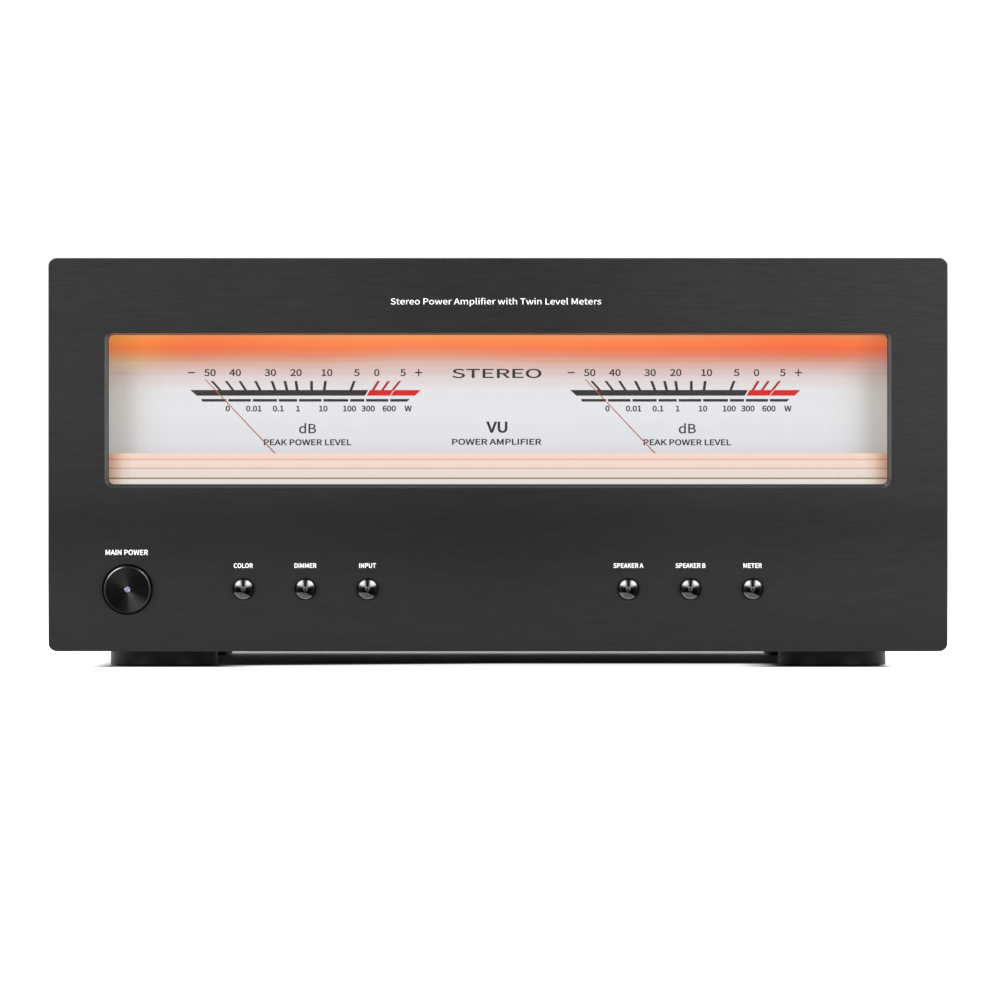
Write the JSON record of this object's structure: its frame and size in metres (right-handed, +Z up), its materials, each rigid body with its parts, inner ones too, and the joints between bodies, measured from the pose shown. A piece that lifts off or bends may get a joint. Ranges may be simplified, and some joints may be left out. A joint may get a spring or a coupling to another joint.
{
  "type": "stereo power amplifier",
  "caption": "Stereo power amplifier with a wide lit power-meter window, turned front push buttons, a slotted steel cover and rear speaker posts.",
  "frame": {"origin": "centre of the bounding box on the resting plane under the feet", "axes": "+X to the right seen from the front, +Y to the rear, +Z up; the front panel faces -Y"},
  "size_m": [0.44, 0.433, 0.2005],
  "materials": {
    "fascia": "fine horizontal brushed grain, dark grey anodised",
    "window_glass": "clear polished sheet",
    "gasket": "matte black foam",
    "chassis_steel": "zinc plated sheet",
    "light_box": "white moulding",
    "dial": "translucent warm white, lit from the top edge",
    "step_trim": "warm white moulding",
    "lamp_board": "white solder mask with amber lamps",
    "movement_case": "black moulding",
    "circuit_board": "green solder mask",
    "black_plastic": "black moulding",
    "black_sheet": "black satin powder coat",
    "cover_paint": "black fine-texture powder coat",
    "foot_body": "black satin moulding",
    "foot_rubber": "matte",
    "black_screws": "black oxide",
    "heatsink": "black anodised extrusion",
    "transformer_wrap": "wound core under yellow polyester tape",
    "zinc_steel": "zinc plated",
    "capacitor_sleeve": "dark blue shrink sleeve",
    "gold_plate": "gold plated, polished",
    "cable_jacket": "PVC jackets",
    "needle_paint": "orange red paint",
    "power_button_black": "black polished, spun face",
    "spun_chrome": "spun face",
    "knob_red": "red",
    "knob_black": "black"
  },
  "bodies": {
    "chassis": {"front_panel": "fascia", "window_glass": "window_glass", "window_gasket": "gasket", "front_subpanel": "chassis_steel", "meter_housing": "light_box", "dial_plate": "dial", "dial_step_trim": "step_trim", "dial_light_board": "lamp_board", "meter_movements": "movement_case", "button_board": "circuit_board", "button_switches": "black_plastic", "bottom_plate": "black_sheet", "rear_panel": "black_sheet", "top_cover": "cover_paint", "feet": "foot_body", "foot_pads": "foot_rubber", "machine_screws": "black_screws", "heatsink_left": "heatsink", "heatsink_right": "heatsink", "output_transistors": "black_plastic", "amplifier_boards": "circuit_board", "transformer_left": "transformer_wrap", "transformer_right": "transformer_wrap", "transformer_clamps": "zinc_steel", "power_supply_board": "circuit_board", "filter_capacitors": "capacitor_sleeve", "bridge_rectifiers": "black_plastic", "input_board": "circuit_board", "xlr_sockets": "black_plastic", "rca_sockets": "gold_plate", "mains_inlet": "black_plastic", "post_stems": "gold_plate", "post_insulators": "black_plastic", "wiring": "cable_jacket"},
    "needle_left": {"needle_left": "needle_paint"},
    "needle_right": {"needle_right": "needle_paint"},
    "power_button": {"power_button": "power_button_black"},
    "button_colour": {"button_colour": "spun_chrome"},
    "button_dimmer": {"button_dimmer": "spun_chrome"},
    "button_input": {"button_input": "spun_chrome"},
    "button_speaker_a": {"button_speaker_a": "spun_chrome"},
    "button_speaker_b": {"button_speaker_b": "spun_chrome"},
    "button_meter": {"button_meter": "spun_chrome"},
    "mains_rocker": {"mains_rocker": "black_plastic"},
    "clamp_washer_1": {"clamp_washer_1": "gold_plate"},
    "post_knob_1": {"post_knob_1": "knob_black"},
    "clamp_washer_2": {"clamp_washer_2": "gold_plate"},
    "post_knob_2": {"post_knob_2": "knob_red"},
    "clamp_washer_3": {"clamp_washer_3": "gold_plate"},
    "post_knob_3": {"post_knob_3": "knob_black"},
    "clamp_washer_4": {"clamp_washer_4": "gold_plate"},
    "post_knob_4": {"post_knob_4": "knob_red"},
    "clamp_washer_5": {"clamp_washer_5": "gold_plate"},
    "post_knob_5": {"post_knob_5": "knob_black"},
    "clamp_washer_6": {"clamp_washer_6": "gold_plate"},
    "post_knob_6": {"post_knob_6": "knob_red"},
    "clamp_washer_7": {"clamp_washer_7": "gold_plate"},
    "post_knob_7": {"post_knob_7": "knob_black"},
    "clamp_washer_8": {"clamp_washer_8": "gold_plate"},
    "post_knob_8": {"post_knob_8": "knob_red"}
  },
  "joints": [
    {"name": "needle_left_swing", "type": "hinge", "parent": "chassis", "child": "needle_left", "pos_m": [-0.092, -0.1711, 0.08585], "axis": [0, 1, 0], "range_deg": [0, 90]},
    {"name": "needle_right_swing", "type": "hinge", "parent": "chassis", "child": "needle_right", "pos_m": [0.0954, -0.1711, 0.08585], "axis": [0, 1, 0], "range_deg": [0, 90]},
    {"name": "power_press", "type": "slide", "parent": "chassis", "child": "power_button", "axis": [0, 1, 0], "range_m": [0, 0.0015]},
    {"name": "colour_press", "type": "slide", "parent": "chassis", "child": "button_colour", "axis": [0, 1, 0], "range_m": [0, 0.001]},
    {"name": "dimmer_press", "type": "slide", "parent": "chassis", "child": "button_dimmer", "axis": [0, 1, 0], "range_m": [0, 0.001]},
    {"name": "input_press", "type": "slide", "parent": "chassis", "child": "button_input", "axis": [0, 1, 0], "range_m": [0, 0.001]},
    {"name": "speaker_a_press", "type": "slide", "parent": "chassis", "child": "button_speaker_a", "axis": [0, 1, 0], "range_m": [0, 0.001]},
    {"name": "speaker_b_press", "type": "slide", "parent": "chassis", "child": "button_speaker_b", "axis": [0, 1, 0], "range_m": [0, 0.001]},
    {"name": "meter_press", "type": "slide", "parent": "chassis", "child": "button_meter", "axis": [0, 1, 0], "range_m": [0, 0.001]},
    {"name": "mains_switch_rock", "type": "hinge", "parent": "chassis", "child": "mains_rocker", "pos_m": [0, 0.1845, 0.0775], "axis": [1, 0, 0], "range_deg": [-20, 0]},
    {"name": "terminal_1_lift", "type": "slide", "parent": "chassis", "child": "clamp_washer_1", "axis": [0, 1, 0], "range_m": [0, 0.00625]},
    {"name": "terminal_1_turn", "type": "hinge", "parent": "clamp_washer_1", "child": "post_knob_1", "pos_m": [-0.176, 0.2015, 0.084], "axis": [0, 1, 0], "range_deg": [0, 1800]},
    {"name": "terminal_2_lift", "type": "slide", "parent": "chassis", "child": "clamp_washer_2", "axis": [0, 1, 0], "range_m": [0, 0.00625]},
    {"name": "terminal_2_turn", "type": "hinge", "parent": "clamp_washer_2", "child": "post_knob_2", "pos_m": [-0.15, 0.2015, 0.084], "axis": [0, 1, 0], "range_deg": [0, 1800]},
    {"name": "terminal_3_lift", "type": "slide", "parent": "chassis", "child": "clamp_washer_3", "axis": [0, 1, 0], "range_m": [0, 0.00625]},
    {"name": "terminal_3_turn", "type": "hinge", "parent": "clamp_washer_3", "child": "post_knob_3", "pos_m": [-0.116, 0.2015, 0.084], "axis": [0, 1, 0], "range_deg": [0, 1800]},
    {"name": "terminal_4_lift", "type": "slide", "parent": "chassis", "child": "clamp_washer_4", "axis": [0, 1, 0], "range_m": [0, 0.00625]},
    {"name": "terminal_4_turn", "type": "hinge", "parent": "clamp_washer_4", "child": "post_knob_4", "pos_m": [-0.09, 0.2015, 0.084], "axis": [0, 1, 0], "range_deg": [0, 1800]},
    {"name": "terminal_5_lift", "type": "slide", "parent": "chassis", "child": "clamp_washer_5", "axis": [0, 1, 0], "range_m": [0, 0.00625]},
    {"name": "terminal_5_turn", "type": "hinge", "parent": "clamp_washer_5", "child": "post_knob_5", "pos_m": [0.09, 0.2015, 0.084], "axis": [0, 1, 0], "range_deg": [0, 1800]},
    {"name": "terminal_6_lift", "type": "slide", "parent": "chassis", "child": "clamp_washer_6", "axis": [0, 1, 0], "range_m": [0, 0.00625]},
    {"name": "terminal_6_turn", "type": "hinge", "parent": "clamp_washer_6", "child": "post_knob_6", "pos_m": [0.116, 0.2015, 0.084], "axis": [0, 1, 0], "range_deg": [0, 1800]},
    {"name": "terminal_7_lift", "type": "slide", "parent": "chassis", "child": "clamp_washer_7", "axis": [0, 1, 0], "range_m": [0, 0.00625]},
    {"name": "terminal_7_turn", "type": "hinge", "parent": "clamp_washer_7", "child": "post_knob_7", "pos_m": [0.15, 0.2015, 0.084], "axis": [0, 1, 0], "range_deg": [0, 1800]},
    {"name": "terminal_8_lift", "type": "slide", "parent": "chassis", "child": "clamp_washer_8", "axis": [0, 1, 0], "range_m": [0, 0.00625]},
    {"name": "terminal_8_turn", "type": "hinge", "parent": "clamp_washer_8", "child": "post_knob_8", "pos_m": [0.176, 0.2015, 0.084], "axis": [0, 1, 0], "range_deg": [0, 1800]}
  ],
  "couplings": [
    {"joint": "terminal_1_lift", "follows": "terminal_1_turn", "m_per_rad": 0.00019894},
    {"joint": "terminal_2_lift", "follows": "terminal_2_turn", "m_per_rad": 0.00019894},
    {"joint": "terminal_3_lift", "follows": "terminal_3_turn", "m_per_rad": 0.00019894},
    {"joint": "terminal_4_lift", "follows": "terminal_4_turn", "m_per_rad": 0.00019894},
    {"joint": "terminal_5_lift", "follows": "terminal_5_turn", "m_per_rad": 0.00019894},
    {"joint": "terminal_6_lift", "follows": "terminal_6_turn", "m_per_rad": 0.00019894},
    {"joint": "terminal_7_lift", "follows": "terminal_7_turn", "m_per_rad": 0.00019894},
    {"joint": "terminal_8_lift", "follows": "terminal_8_turn", "m_per_rad": 0.00019894}
  ]
}
